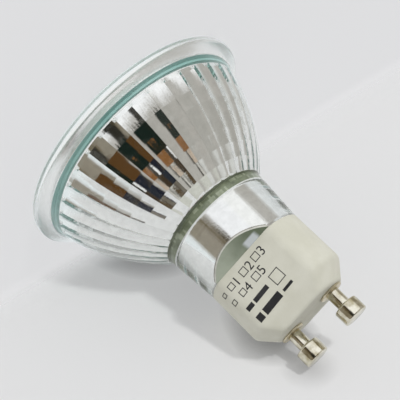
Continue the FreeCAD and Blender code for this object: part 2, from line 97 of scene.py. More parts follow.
def markSharp(piece, isSharp):
    # isSharp takes the two ends of every edge as index arrays
    mesh = piece.data
    ends = np.empty(len(mesh.edges) * 2, np.int32)
    mesh.edges.foreach_get("vertices", ends)
    first, second = ends.reshape(-1, 2).T
    layer = mesh.attributes.get("sharp_edge") or mesh.attributes.new("sharp_edge", "BOOLEAN", "EDGE")
    layer.data.foreach_set("value", np.ascontiguousarray(isSharp(first, second)))


def roundCorner(corner, arriving, leaving, radius, steps):
    # arc tangent to both directions: start + radius * (sin t * arriving + (1 - cos t) * side)
    arriving, leaving = (np.array(way, float) / np.hypot(*way) for way in (arriving, leaving))
    bend = math.atan2(arriving[0] * leaving[1] - arriving[1] * leaving[0], float(arriving @ leaving))
    start = np.array(corner, float) - arriving * radius * math.tan(abs(bend) / 2)
    side = np.array([-arriving[1], arriving[0]]) * np.sign(bend)
    t = np.linspace(0, abs(bend), steps)[:, None]
    return start + radius * (np.sin(t) * arriving + (1 - np.cos(t)) * side)


def roundedPath(corners, radius, steps):
    # open profile through the corners with every inner corner rounded by the same radius
    corners = [np.array(corner, float) for corner in corners]
    path = [corners[0][None]]
    for before, here, after in zip(corners, corners[1:], corners[2:]):
        path.append(roundCorner(here, here - before, after - here, radius, steps))
    path.append(corners[-1][None])
    return np.concatenate(path)


def turnedPiece(name, profile, columns, materials, sharpAngle, wallSlot=0, x=0.0):
    # profile of radius and height turned about an upright axis at x, both ends of it on that axis
    around = np.arange(columns) / columns * turn
    rings = profile[1:-1]
    points = ringPoints(rings[:, :1], rings[:, 1:], around)
    poles = np.array([[0, 0, profile[0, 1]], [0, 0, profile[-1, 1]]])
    points = np.concatenate([points, poles]) + np.array([x, 0, 0])
    quads = ringFaces(len(rings), columns)
    fans = poleFans(len(rings), columns)
    slots = np.zeros(len(quads) + len(fans), int)
    slots[:len(quads)] = wallSlot
    piece = makePiece(name, points, [quads, fans], slots, materials)
    piece.data.set_sharp_from_angle(angle=math.radians(sharpAngle))
    return piece


# material helpers

# noise values at which a clouded colour is all dark and all light, and a roughness at its two ends
cloudSpan = (0.35, 0.65)
gritSpan = (0.3, 0.7)
# what a finish has where its own look says nothing else
plainLook = dict(cloud=250.0, grit=5000.0, metal=0.0, ior=1.45, bump=0.1, depth=0.00003)


def newMaterial(name):
    material = bpy.data.materials.new(name)
    material.use_nodes = True
    tree = material.node_tree
    return material, tree, tree.nodes["Principled BSDF"]


def addNode(tree, kind, **settings):
    node = tree.nodes.new(kind)
    for key, value in settings.items():
        setattr(node, key, value)
    return node


def plug(tree, socket, value):
    # links an output to the socket, or sets the socket to a constant
    if hasattr(value, "is_linked"):
        tree.links.new(value, socket)
    else:
        socket.default_value = value


def mathNode(tree, operation, *values):
    node = addNode(tree, "ShaderNodeMath", operation=operation)
    for index, value in enumerate(values):
        plug(tree, node.inputs[index], value)
    return node.outputs[0]


def mixColour(tree, factor, first, second):
    # a mix of colours has its factor and two colours on sockets 0, 6 and 7, and its result on 2
    node = addNode(tree, "ShaderNodeMix", data_type="RGBA")
    for index, value in ((0, factor), (6, first), (7, second)):
        plug(tree, node.inputs[index], value)
    return node.outputs[2]


def mixShader(tree, factor, first, second):
    node = addNode(tree, "ShaderNodeMixShader")
    for index, value in enumerate((factor, first, second)):
        tree.links.new(value, node.inputs[index])
    return node.outputs[0]


def mapRange(tree, value, low, high, toLow, toHigh, smooth=False):
    node = addNode(tree, "ShaderNodeMapRange", interpolation_type="SMOOTHSTEP" if smooth else "LINEAR")
    tree.links.new(value, node.inputs["Value"])
    for key, number in (("From Min", low), ("From Max", high), ("To Min", toLow), ("To Max", toHigh)):
        node.inputs[key].default_value = number
    return node.outputs["Result"]


def axesOf(tree, place):
    # outputs X, Y and Z of a place
    split = addNode(tree, "ShaderNodeSeparateXYZ")
    tree.links.new(place, split.inputs[0])
    return split.outputs


def makeGrain():
    # cloud: broad soft patches, grit: fine specks, height: both together for bump
    group = bpy.data.node_groups.new("surfaceGrain", "ShaderNodeTree")
    for name, start in (("Cloud Scale", 200.0), ("Grit Scale", 4000.0)):
        socket = group.interface.new_socket(name, in_out="INPUT", socket_type="NodeSocketFloat")
        socket.default_value = start
    for name in ("Cloud", "Grit", "Height"):
        group.interface.new_socket(name, in_out="OUTPUT", socket_type="NodeSocketFloat")
    inputs = addNode(group, "NodeGroupInput")
    outputs = addNode(group, "NodeGroupOutput")
    place = addNode(group, "ShaderNodeTexCoord")
    noises = []
    for name, detail in (("Cloud", 3.0), ("Grit", 2.0)):
        noise = addNode(group, "ShaderNodeTexNoise")
        noise.inputs["Detail"].default_value = detail
        group.links.new(place.outputs["Object"], noise.inputs["Vector"])
        group.links.new(inputs.outputs[f"{name} Scale"], noise.inputs["Scale"])
        group.links.new(noise.outputs["Fac"], outputs.inputs[name])
        noises.append(noise.outputs["Fac"])
    group.links.new(mathNode(group, "ADD", *noises), outputs.inputs["Height"])
    return group


grainGroup = makeGrain()


def addGrain(tree, cloudScale, gritScale):
    node = addNode(tree, "ShaderNodeGroup", node_tree=grainGroup)
    node.inputs["Cloud Scale"].default_value = cloudScale
    node.inputs["Grit Scale"].default_value = gritScale
    return node


def addBump(tree, shader, height, strength, distance):
    bump = addNode(tree, "ShaderNodeBump")
    bump.inputs["Strength"].default_value = strength
    bump.inputs["Distance"].default_value = distance
    tree.links.new(height, bump.inputs["Height"])
    tree.links.new(bump.outputs["Normal"], shader.inputs["Normal"])


def finish(name, look):
    # opaque finish: two tones clouded into each other, roughness that follows the grit, fine bump
    material, tree, shader = newMaterial(name)
    look = {**plainLook, **look}
    grain = addGrain(tree, look["cloud"], look["grit"])
    tone = mapRange(tree, grain.outputs["Cloud"], *cloudSpan, 0.0, 1.0)
    colour = mixColour(tree, tone, (*look["dark"], 1), (*look["light"], 1))
    tree.links.new(colour, shader.inputs["Base Color"])
    rough = mapRange(tree, grain.outputs["Grit"], *gritSpan, *look["rough"])
    tree.links.new(rough, shader.inputs["Roughness"])
    shader.inputs["Metallic"].default_value = look["metal"]
    shader.inputs["IOR"].default_value = look["ior"]
    addBump(tree, shader, grain.outputs["Height"], look["bump"], look["depth"])
    return material


def clearGlass(name, look):
    # clear glass with a slow waviness of its pressed skin, which lets light through to what lies behind it
    material, tree, shader = newMaterial(name)
    grain = addGrain(tree, look["cloud"], look["grit"])
    light = addNode(tree, "ShaderNodeLightPath")
    lit = mathNode(tree, "MAXIMUM", light.outputs["Is Shadow Ray"], light.outputs["Is Diffuse Ray"])
    clear = addNode(tree, "ShaderNodeBsdfTransparent")
    clear.inputs["Color"].default_value = (*look["tint"], 1)
    mixed = mixShader(tree, lit, shader.outputs[0], clear.outputs[0])
    tree.links.new(mixed, tree.nodes["Material Output"].inputs["Surface"])
    shader.inputs["Base Color"].default_value = (*look["tint"], 1)
    shader.inputs["Metallic"].default_value = 0.0
    shader.inputs["Transmission Weight"].default_value = 1.0
    shader.inputs["IOR"].default_value = look["ior"]
    shader.inputs["Roughness"].default_value = look["rough"]
    addBump(tree, shader, grain.outputs["Cloud"], look["bump"], look["depth"])
    return material


def slantGlass(name, look):
    # thick green glass of a slanted facet, with painted shade from a light end to a dark end along x, and one
    # painted pale reflection
    material, tree, shader = newMaterial(name)
    grain = addGrain(tree, look["cloud"], look["grit"])
    axes = axesOf(tree, addNode(tree, "ShaderNodeTexCoord").outputs["Object"])
    # the clouds sway the painted change from light to dark, by half of sway to each side
    shift = mathNode(tree, "MULTIPLY_ADD", grain.outputs["Cloud"], look["sway"], axes["X"])
    middle = look["sway"] / 2
    slide = mapRange(tree, shift, look["start"] + middle, look["end"] + middle, 0.0, 1.0, True)
    colour = mixColour(tree, slide, (*look["light"], 1), (*look["dark"], 1))
    # the painted reflection: a pale patch with soft edges in x and z
    inner, outer = look["paintedGlintEdge"]
    masks = []
    for axis, centre, half in zip("XZ", look["paintedGlint"], look["paintedGlintHalf"]):
        off = mathNode(tree, "ABSOLUTE", mathNode(tree, "SUBTRACT", axes[axis], centre))
        masks.append(mapRange(tree, off, half * inner, half * outer, 1.0, 0.0, True))
    colour = mixColour(tree, mathNode(tree, "MULTIPLY", *masks), colour, (*look["paintedGlintTone"], 1))
    tree.links.new(colour, shader.inputs["Base Color"])
    shader.inputs["Roughness"].default_value = look["rough"]
    addBump(tree, shader, grain.outputs["Cloud"], look["bump"], look["depth"])
    return material


# finishes of the lamp's own pieces, places and depths in metres

glassLook = dict(ior=1.5, grit=4000.0)
bowlGlass = clearGlass("bowlGlass", dict(glassLook, tint=(0.975, 0.995, 0.985), rough=0.0, cloud=90.0,
                                         bump=0.15, depth=0.0002))
rimGlass = clearGlass("rimGlass", dict(glassLook, tint=(0.985, 1.0, 0.992), rough=0.2, cloud=90.0,
                                       bump=0.15, depth=0.0002))
coverGlass = clearGlass("coverGlass", dict(glassLook, tint=(0.93, 0.985, 0.97), rough=0.0, cloud=60.0,
                                           bump=0.05, depth=0.0001))
# painted light and shade on the facet: a light-to-dark ramp along x and a pale glint
facetGlass = slantGlass("facetGlass", dict(light=(0.40, 0.44, 0.35), dark=(0.12, 0.15, 0.09), rough=0.08,
                                           start=0.005, end=-0.005, sway=0.004, paintedGlint=(-0.0031, 0.0326),
                                           paintedGlintHalf=(0.0016, 0.0006), paintedGlintEdge=(0.6, 1.15),
                                           paintedGlintTone=(0.60, 0.64, 0.66), cloud=500.0, grit=4000.0,
                                           bump=0.1, depth=0.00005))
mirrorCoat = finish("mirrorCoat", dict(dark=(0.86, 0.86, 0.85), light=(0.93, 0.93, 0.92), rough=(0.02, 0.05),
                                       metal=1.0, cloud=900.0, grit=3000.0, bump=0.10))
coverEdge = finish("coverEdge", dict(dark=(0.56, 0.63, 0.60), light=(0.66, 0.72, 0.69), rough=(0.25, 0.4),
                                     cloud=60.0))
seatTeal = finish("seatTeal", dict(dark=(0.34, 0.58, 0.55), light=(0.50, 0.72, 0.69), rough=(0.2, 0.35),
                                   cloud=60.0))
# a pale matt band on the bore just above the green ring, painted as a highlight line
seamCoat = finish("seamCoat", dict(dark=(0.72, 0.72, 0.71), light=(0.82, 0.82, 0.81), rough=(0.35, 0.5),
                                   cloud=300.0))
# green of the thick glass at the neck's root in a lit and a shaded tone, painted light and shade
paleGreen = finish("paleGreen", dict(dark=(0.24, 0.27, 0.18), light=(0.42, 0.45, 0.33), rough=(0.2, 0.35),
                                     cloud=500.0))
darkGreen = finish("darkGreen", dict(dark=(0.13, 0.15, 0.09), light=(0.24, 0.27, 0.18), rough=(0.2, 0.35),
                                     cloud=500.0))
# a painted shade line and a painted highlight that run along the facet's edge
paintedEdgeShade = finish("paintedEdgeShade", dict(dark=(0.24, 0.235, 0.20), light=(0.38, 0.37, 0.33), rough=(0.2, 0.35),
                                     cloud=900.0))
paintedEdgeHighlight = finish("paintedEdgeHighlight", dict(dark=(0.58, 0.58, 0.52), light=(0.70, 0.70, 0.64), rough=(0.2, 0.35),
                                   cloud=900.0))
ceramic = finish("ceramic", dict(dark=(0.69, 0.68, 0.575), light=(0.74, 0.73, 0.63), rough=(0.55, 0.75),
                                 cloud=300.0, grit=6000.0, bump=0.25, depth=0.00004))
platedPin = finish("platedPin", dict(dark=(0.46, 0.41, 0.27), light=(0.85, 0.82, 0.70), rough=(0.06, 0.16),
                                     metal=1.0, cloud=650.0, grit=6000.0))
brightEyelet = finish("brightEyelet", dict(dark=(0.60, 0.53, 0.37), light=(0.72, 0.66, 0.50),
                                           rough=(0.25, 0.4), metal=1.0, cloud=700.0))
printInk = finish("printInk", dict(dark=(0.018, 0.018, 0.02), light=(0.035, 0.035, 0.038), rough=(0.5, 0.7)))
print("finishes made")


# reflector bowl, sizes in millimetres from the rim's face up

bowl = dict(rimRadius=25.0, rimLand=1.6, shoulder=2.8, rimRound=0.6, shoulderRound=0.8, mouthRadius=22.7,
            arcRadius=39.0, junctionRadius=11.4, junctionHeight=22.4, junctionRound=1.5,
            neckRadius=10.5, neckHeight=33.09, facetHeight=2.3, flatHalf=8.0, edgeDrop=0.15,
            wall=1.9, flutes=36, perFlute=12, edgeAngle=7.5, fluteStart=3.4, runout=0.7, fluteEnd=20.8,
            firstRow=4.1, lowerRows=6, boreRadius=9.0, boreMiddle=27.0, floorHeight=30.92,
            pocketRadius=8.97, pocketHalf=7.8, pocketHeight=32.32, holeRadius=7.2,
            seatRadius=22.3, seatHeight=2.3, tealHeight=2.75, leastSide=0.01,
            # rows of the mesh, and where its bands and lines of painted light and shade lie
            wallRows=44, cornerRows=7, junctionRows=12, neckRows=12, facetRows=6, curvedRows=6, rimPast=3,
            shadeLineShare=0.945, highlightShare=0.966, seamTop=23.25, greenTop=23.0, greenMiddle=21.9,
            greenStep=6, greenSway=2.4, greenRate=0.41, greenShift=40)
bowlFinishes = dict(glass=bowlGlass, mirror=mirrorCoat, facet=facetGlass, paleGreen=paleGreen, seat=seatTeal,
                    rim=rimGlass, seam=seamCoat, darkGreen=darkGreen, line=paintedEdgeShade, lip=paintedEdgeHighlight)
bowlSlot = {name: number for number, name in enumerate(bowlFinishes)}


def lobeRing(radius, around, flat=False):
    # cusps on the radius, each lobe a circle arc bulging to the axis: d cos u - sqrt(p^2 - d^2 sin^2 u)
    half = math.pi / bowl["flutes"]
    chord = radius * math.sin(half)
    sag = chord * math.tan(math.radians(bowl["edgeAngle"]) / 2)
    nearest = radius * math.cos(half) - sag
    if flat:
        return np.full_like(around, nearest)
    arc = (chord ** 2 + sag ** 2) / (2 * sag)
    centre = nearest + arc
    u = around % (2 * half) - half
    return centre * np.cos(u) - np.sqrt(arc ** 2 - (centre * np.sin(u)) ** 2)


def buildBowl():
    # closed grid: rows run up the outside, over the neck's end, down bore and flutes and out to the rim
    b = bowl
    columns = b["flutes"] * b["perFlute"]
    around = np.arange(columns) / columns * turn
    rim = np.array([b["rimRadius"], b["rimLand"]])
    mouth = np.array([b["mouthRadius"], b["shoulder"]])
    junction = np.array([b["junctionRadius"], b["junctionHeight"]])
    neckEnd = np.array([b["neckRadius"], b["neckHeight"]])
    span = junction - mouth
    lift = math.sqrt(b["arcRadius"] ** 2 - span @ span / 4)
    centre = (mouth + junction) / 2 + np.array([-span[1], span[0]]) / np.hypot(*span) * lift
    tangents = [np.array([-(p - centre)[1], (p - centre)[0]]) for p in (mouth, junction)]
    corner = b["cornerRows"]
    rimFoot = roundCorner((b["rimRadius"], 0), (1, 0), (0, 1), b["rimRound"], corner)
    rimTop = roundCorner(rim, (0, 1), mouth - rim, b["rimRound"], corner)
    shoulder = roundCorner(mouth, mouth - rim, tangents[0], b["shoulderRound"], corner)
    neckRoot = roundCorner(junction, tangents[1], neckEnd - junction, b["junctionRound"], b["junctionRows"])
    turns = [math.atan2(*(p - centre)[::-1]) for p in (shoulder[-1], neckRoot[0])]
    t = np.linspace(*turns, b["wallRows"])[1:-1, None]
    wall = centre + b["arcRadius"] * np.concatenate([np.cos(t), np.sin(t)], axis=1)
    plain = np.concatenate([rimFoot, rimTop, shoulder, wall, neckRoot])
    radius = np.repeat(plain[:, :1], columns, axis=1)
    height = np.repeat(plain[:, 1:], columns, axis=1)

    # neck rows end where the slanted facet starts, which differs from column to column
    slope = (neckEnd[0] - junction[0]) / (neckEnd[1] - junction[1])
    side = np.abs(np.sin(around))
    fall = (b["neckRadius"] - b["flatHalf"]) / b["facetHeight"]
    # neck radius * side = flatHalf + (neckHeight - z) * fall
    straight = neckEnd[0] - slope * neckEnd[1]
    edge = (b["flatHalf"] + b["neckHeight"] * fall - straight * side) / (slope * side + fall)
    highest = b["neckHeight"] - b["edgeDrop"]
    onFacet = b["neckRadius"] * side > b["flatHalf"]
    edge = np.where(onFacet, np.clip(edge, None, highest), highest)
    # the last two bands between these rows are a painted dark shade line and a painted highlight along the
    # facet's edge
    share = np.linspace(0, b["shadeLineShare"], b["neckRows"] + 1)[1:]
    share = np.append(share, [b["highlightShare"], 1.0])[:, None]
    neckZ = neckRoot[-1, 1] + (edge - neckRoot[-1, 1]) * share
    facetZ = edge + (b["neckHeight"] - edge) * np.linspace(0, 1, b["facetRows"] + 1)[1:, None]
    neckR = neckEnd[0] + slope * (neckZ - neckEnd[1])
    cone = neckEnd[0] + slope * (facetZ - neckEnd[1])
    sideways = np.maximum(side, b["leastSide"])
    plane = (b["flatHalf"] + (b["neckHeight"] - facetZ) * fall) / sideways
    edgeRow = len(plain) + len(neckZ) - 1
    radius = np.concatenate([radius, neckR, np.minimum(cone, plane)])
    height = np.concatenate([height, neckZ, facetZ])

    # inside: floor of the neck, bore, fluted rows, seat of the cover
    inner = b["arcRadius"] - b["wall"]
    heights = (b["fluteStart"], b["fluteStart"] + b["runout"], b["fluteEnd"])
    top, runout, last = (math.asin((z - centre[1]) / inner) for z in heights)
    lower = np.linspace(top + b["firstRow"] / inner, last, b["lowerRows"] + 1)
    # the first row follows the curve of the wall, the lower rows are flat
    curved = np.linspace(lower[0], runout, b["curvedRows"] + 2)[1:-1]
    angles = np.concatenate([lower[::-1], curved, [runout, top]])
    flutes = [(lobeRing(centre[0] + inner * math.cos(a), around, flat=index == len(angles) - 1),
               centre[1] + inner * math.sin(a)) for index, a in enumerate(angles)]
    smooth = flutes[-1][0][0]
    pocket = np.minimum(b["pocketRadius"], b["pocketHalf"] / sideways)
    hole, bore, seat = b["holeRadius"], b["boreRadius"], b["seatRadius"]
    # radius, height and finish of each row; a band of quads takes the finish of the row it leads to
    hollow = [(hole, b["neckHeight"], "mirror"), (hole, b["pocketHeight"], "mirror"),
              (pocket, b["pocketHeight"], "mirror"), (pocket, b["floorHeight"], "mirror"),
              (bore, b["floorHeight"], "mirror"), (bore, b["boreMiddle"], "mirror"),
              # the band just above the green ring is a painted highlight line
              (bore, b["seamTop"], "mirror"), (bore, b["greenTop"], "seam"),
              (bore, b["greenMiddle"], "paleGreen"), (bore, b["fluteEnd"], "paleGreen")]
    plainRows = len(hollow)
    # the ledge at the flutes' end is a painted shade line in the shaded green
    hollow += [(ring, z, "darkGreen" if index == 0 else "mirror") for index, (ring, z) in enumerate(flutes)]
    hollow += [(smooth, b["tealHeight"], "mirror"), (smooth, b["seatHeight"], "seat"),
               (seat, b["seatHeight"], "seat"), (seat, 0.0, "glass")]
    rings, levels, names = zip(*hollow)
    firstInner = len(radius)
    radius = np.concatenate([radius] + [np.broadcast_to(ring, (1, columns)) for ring in rings])
    height = np.concatenate([height] + [np.full((1, columns), level) for level in levels])
    rows = len(radius)

    names = ["glass"] * (firstInner - 1) + list(names) + ["glass"]
    slots = np.repeat([bowlSlot[name] for name in names], columns).reshape(rows, columns)
    slots[:len(rimFoot) + len(rimTop) + b["rimPast"]] = bowlSlot["rim"]
    slots[-2:] = bowlSlot["rim"]
    # green ring in two rows with painted light and shade:
    # facets n of uneven width, shaded where (5 n^2 + 3 n) mod 11 is below 5
    for row, shift in ((plainRows - 2, 0), (plainRows - 1, b["greenShift"])):
        place = np.arange(columns) + shift
        n = ((place + b["greenSway"] * np.sin(b["greenRate"] * place)) // b["greenStep"]).astype(int)
        dark = (5 * n * n + 3 * n) % 11 < 5
        slots[firstInner - 1 + row] = np.where(dark, bowlSlot["darkGreen"], bowlSlot["paleGreen"])
    facetColumns = onFacet & np.roll(onFacet, -1)
    # the painted shade line and painted highlight along the facet's edge, then the facet itself
    slots[edgeRow - 2, facetColumns] = bowlSlot["line"]
    slots[edgeRow - 1, facetColumns] = bowlSlot["lip"]
    slots[edgeRow:edgeRow + len(facetZ), facetColumns] = bowlSlot["facet"]
    points = ringPoints(radius, height, around)
    piece = makePiece("reflectorBowl", points, [ringFaces(rows, columns, closed=True)], slots.ravel(),
                      bowlFinishes.values())

    # the bore's rows between its ends and those along the curved first row stay soft,
    # every other inner ring is an edge
    boreRows = np.arange(plainRows - 5, plainRows - 1)
    softRows = firstInner + np.concatenate([boreRows, plainRows + len(lower) + np.arange(len(curved))])
    fluteRows = range(firstInner + plainRows, firstInner + plainRows + len(flutes))

    def isSharp(a, c):
        rowA, rowC = a // columns, c // columns
        columnA, columnC = a % columns, c % columns
        along = rowA == rowC
        innerRing = along & (rowA >= firstInner - 1) & ~np.isin(rowA, softRows)
        facetEdge = along & (rowA == edgeRow) & onFacet[columnA] & onFacet[columnC]
        down = ~along & np.isin(rowA, fluteRows) & np.isin(rowC, fluteRows)
        cusp = down & (columnA % b["perFlute"] == 0) & (columnA == columnC)
        return innerRing | facetEdge | cusp

    markSharp(piece, isSharp)
    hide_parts("reflector_bowl")


buildBowl()
print("bowl built")


# cover glass

cover = dict(radius=22.2, low=0.3, high=2.3, bevel=0.2, columns=288, sharpAngle=20.0)


def buildCover():
    # flat disc whose ground edge is the green band that shows through the rim
    c = cover
    low, high, bevel = c["low"], c["high"], c["bevel"]
    profile = np.array([(0, low), (c["radius"] - bevel, low), (c["radius"], low + bevel),
                        (c["radius"], high - bevel), (c["radius"] - bevel, high), (0, high)])
    piece = turnedPiece("coverGlass", profile, c["columns"], [coverGlass, coverEdge], c["sharpAngle"],
                        wallSlot=1)
    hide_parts("front_glass")


buildCover()
print("cover built")


# ceramic base, with the rings that close its foot and its hollow as shares of their radius

base = dict(radius=10.5, flatHalf=8.0, sideRound=3.0, top=33.1, foot=47.1, bevelRun=3.0, flatRun=1.8,
            bevelHeight=3.4, soft=0.5, footRound=0.5, hollowRadius=8.8, hollowHalf=6.3, hollowFloor=42.5,
            columns=480, wallRows=90, wallStart=0.4, lip=0.02, roundRows=9, footShares=(0.9, 0.6, 0.3),
            hollowShare=0.5, leastSide=0.02, sharpAngle=50.0)
base["reach"] = base["radius"] - base["sideRound"]
base["roundX"] = math.sqrt(base["reach"] ** 2 - (base["flatHalf"] - base["sideRound"]) ** 2)


def softMin(first, second, blend):
    # the smaller of two lengths, rounded off where they are nearly equal
    near = np.clip(blend - np.abs(first - second), 0, None) / blend
    return np.minimum(first, second) - near * near * blend / 4


def flattedOutline(side):
    # radius of the base where |sin| of the angle is side: round end, corner arc of sideRound, flat
    b = base
    bend = np.arcsin(side)
    tangent = math.atan2(b["flatHalf"] - b["sideRound"], b["roundX"])
    off = b["reach"] * np.sin(bend - tangent)
    corner = b["reach"] * np.cos(bend - tangent) + np.sqrt(np.maximum(b["sideRound"] ** 2 - off ** 2, 0))
    flatted = np.where(bend > math.atan2(b["flatHalf"], b["roundX"]), b["flatHalf"] / side, corner)
    return np.where(bend < tangent, b["radius"], flatted)


def buildBase():
    # radius by angle and height: soft minimum of the outline, the cone of the ends and the slanted flats
    b = base
    top, foot, footRound = b["top"], b["foot"], b["footRound"]
    around = np.arange(b["columns"]) / b["columns"] * turn
    side = np.clip(np.abs(np.sin(around)), b["leastSide"], 1.0)
    rounding = np.linspace(0, math.pi / 2, b["roundRows"])[1:]
    heights = np.concatenate([[top, top + b["lip"]],
                              np.linspace(top + b["wallStart"], foot - footRound, b["wallRows"]),
                              foot - footRound * (1 - np.sin(rounding))])
    over = np.maximum(heights - foot + footRound, 0)
    inset = footRound - np.sqrt(np.maximum(footRound ** 2 - over ** 2, 0))
    fall = ((heights - foot + b["bevelHeight"]) / b["bevelHeight"])[:, None]
    slanted = (b["flatHalf"] - b["flatRun"] * fall) / side
    wall = softMin(flattedOutline(side)[None, :], slanted, b["soft"])
    wall = softMin(wall, b["radius"] - b["bevelRun"] * fall, b["soft"]) - inset[:, None]
    footRings = wall[-1:] * np.array(b["footShares"])[:, None]
    hollow = np.minimum(b["hollowRadius"], b["hollowHalf"] / side)[None, :]
    radius = np.concatenate([hollow * b["hollowShare"], hollow, hollow, wall, footRings])
    floor = b["hollowFloor"]
    height = np.concatenate([[floor, floor, top], heights, np.full(len(footRings), foot)])[:, None]
    points = np.concatenate([ringPoints(radius, height, around), [[0, 0, floor], [0, 0, foot]]])
    quads = ringFaces(len(radius), b["columns"])
    fans = poleFans(len(radius), b["columns"])
    piece = makePiece("ceramicBase", points, [quads, fans], np.zeros(len(quads) + len(fans), int), [ceramic])
    piece.data.set_sharp_from_angle(angle=math.radians(b["sharpAngle"]))
    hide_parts("base_cap")


buildBase()
print("base built")


# contact pins and eyelets

pins = dict(spacing=10.0, headRadius=2.4, shankRadius=1.3, headStart=50.6, tip=53.5, foot=47.1, floor=42.5,
            rivetRadius=1.9, rivetEnd=41.9, edge=0.28, edgeRows=5, columns=96, sharpAngle=60.0)
eyelets = dict(radius=2.4, thick=0.4, bore=1.35, tube=1.75, bevel=0.1, round=0.2, roundMiddle=0.06,
               mouth=0.15, sharpAngle=50.0)


def buildPins():
    # each pin is one turned profile with soft edges, each eyelet a flanged sleeve under it
    p, e = pins, eyelets
    foot, floor, columns = p["foot"], p["floor"], p["columns"]
    profile = roundedPath([(0, p["rivetEnd"]), (p["rivetRadius"], p["rivetEnd"]), (p["rivetRadius"], floor),
                           (p["shankRadius"], floor), (p["shankRadius"], p["headStart"]),
                           (p["headRadius"], p["headStart"]), (p["headRadius"], p["tip"]), (0, p["tip"])],
                          p["edge"], p["edgeRows"])
    flange = foot + e["thick"]
    loop = np.array([(e["bore"], floor), (e["tube"], floor), (e["tube"], foot),
                     (e["radius"] - e["bevel"], foot), (e["radius"], foot + e["bevel"]),
                     (e["radius"], flange - e["round"]),
                     (e["radius"] - e["roundMiddle"], flange - e["roundMiddle"]),
                     (e["radius"] - e["round"], flange), (e["bore"] + e["mouth"], flange),
                     (e["bore"], flange - e["mouth"])])
    around = np.arange(columns) / columns * turn
    sleeve = ringPoints(loop[:, :1], loop[:, 1:], around)
    quads = ringFaces(len(loop), columns, closed=True)
    for number, side in ((1, -1), (2, 1)):
        x = side * p["spacing"] / 2
        pin = turnedPiece(f"contactPin{number}", profile, columns, [platedPin], p["sharpAngle"], x=x)
        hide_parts(f"contact_pin_{number}")
        eyelet = makePiece(f"pinEyelet{number}", sleeve + np.array([x, 0, 0]), [quads],
                           np.zeros(len(quads), int), [brightEyelet])
        eyelet.data.set_sharp_from_angle(angle=math.radians(e["sharpAngle"]))
        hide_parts(f"pin_eyelet_{number}")


buildPins()
print("pins built")


# print on the flat: plain open boxes, plain numbers and bars, each from its corner's x and height

marks = dict(lift=0.012, stroke=0.15, slant=3.0, middle=38.0, strips=6, numberSize=2.5,
             boxes=((7.7, 34.6, 0.9), (7.4, 36.8, 1.0), (5.75, 34.45, 1.25), (2.45, 34.35, 1.45),
                    (-0.9, 34.3, 1.45), (5.1, 36.7, 1.25), (1.6, 36.6, 1.45), (-0.4, 39.0, 2.3)),
             numbers=(("1", 4.4, 34.3), ("2", 0.85, 34.25), ("3", -2.5, 34.2), ("4", 3.75, 36.5),
                      ("5", 0.0, 36.45)),
             bars=((6.3, 39.5, 1.6, 0.9), (4.3, 39.5, 3.5, 0.9), (6.3, 41.8, 1.3, 1.4), (4.5, 41.8, 4.2, 1.4),
                   (-0.4, 42.4, 2.3, 0.55)))


def onFlat(x, z):
    # the rows run to -x with their tops towards the rim, turned a little about the middle of the flat
    lean = math.radians(marks["slant"])
    across, down = np.asarray(x, float), np.asarray(z, float) - marks["middle"]
    placed = across * math.cos(lean) - down * math.sin(lean)
    past = np.maximum(np.abs(placed) - base["roundX"], 0)
    y = base["flatHalf"] - base["sideRound"] + np.sqrt(np.maximum(base["sideRound"] ** 2 - past ** 2, 0))
    height = marks["middle"] + across * math.sin(lean) + down * math.cos(lean)
    return np.stack([placed, -y - marks["lift"], height], axis=-1)


def buildMarks():
    # bars are single rectangles, a box is four of them
    m = marks
    rects = list(m["bars"])
    t = m["stroke"]
    for x, z, wide in m["boxes"]:
        rects += [(x, z, wide, t), (x, z + wide - t, wide, t), (x, z + t, t, wide - 2 * t),
                  (x - wide + t, z + t, t, wide - 2 * t)]
    # cut into narrow strips that follow the rounded side of the flat
    strips = [(x - wide * strip / m["strips"], z, wide / m["strips"], tall)
              for x, z, wide, tall in rects for strip in range(m["strips"])]
    left, top, wide, tall = np.array(strips).T
    points = onFlat(np.stack([left, left, left - wide, left - wide], axis=1),
                    np.stack([top, top + tall, top + tall, top], axis=1)).reshape(-1, 3)
    faces = np.arange(len(points)).reshape(-1, 4)
    piece = makePiece("printBars", points, [faces], np.zeros(len(faces), int), [printInk])
    for digit, x, z in m["numbers"]:
        letter = bpy.data.curves.new("printNumber" + digit, "FONT")
        letter.body = digit
        letter.size = m["numberSize"]
        holder = bpy.data.objects.new("printNumber" + digit, letter)
        bpy.context.scene.collection.objects.link(holder)
        mesh = bpy.data.meshes.new_from_object(holder)
        bpy.data.objects.remove(holder)
        spots = np.empty(len(mesh.vertices) * 3, np.float32)
        mesh.vertices.foreach_get("co", spots)
        spots = spots.reshape(-1, 3)
        placed = onFlat(x - spots[:, 0], z + spots[:, 1].max() - spots[:, 1])
        mesh.vertices.foreach_set("co", (placed * mm).astype(np.float32).ravel())
        mesh.materials.clear()
        mesh.materials.append(printInk)
        mesh.update()
        piece = bpy.data.objects.new("printNumber" + digit, mesh)
        bpy.context.scene.collection.objects.link(piece)
        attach(piece, "root")


buildMarks()
print("print laid on")


# pieces inside the neck and base keep their solids and get a finish each

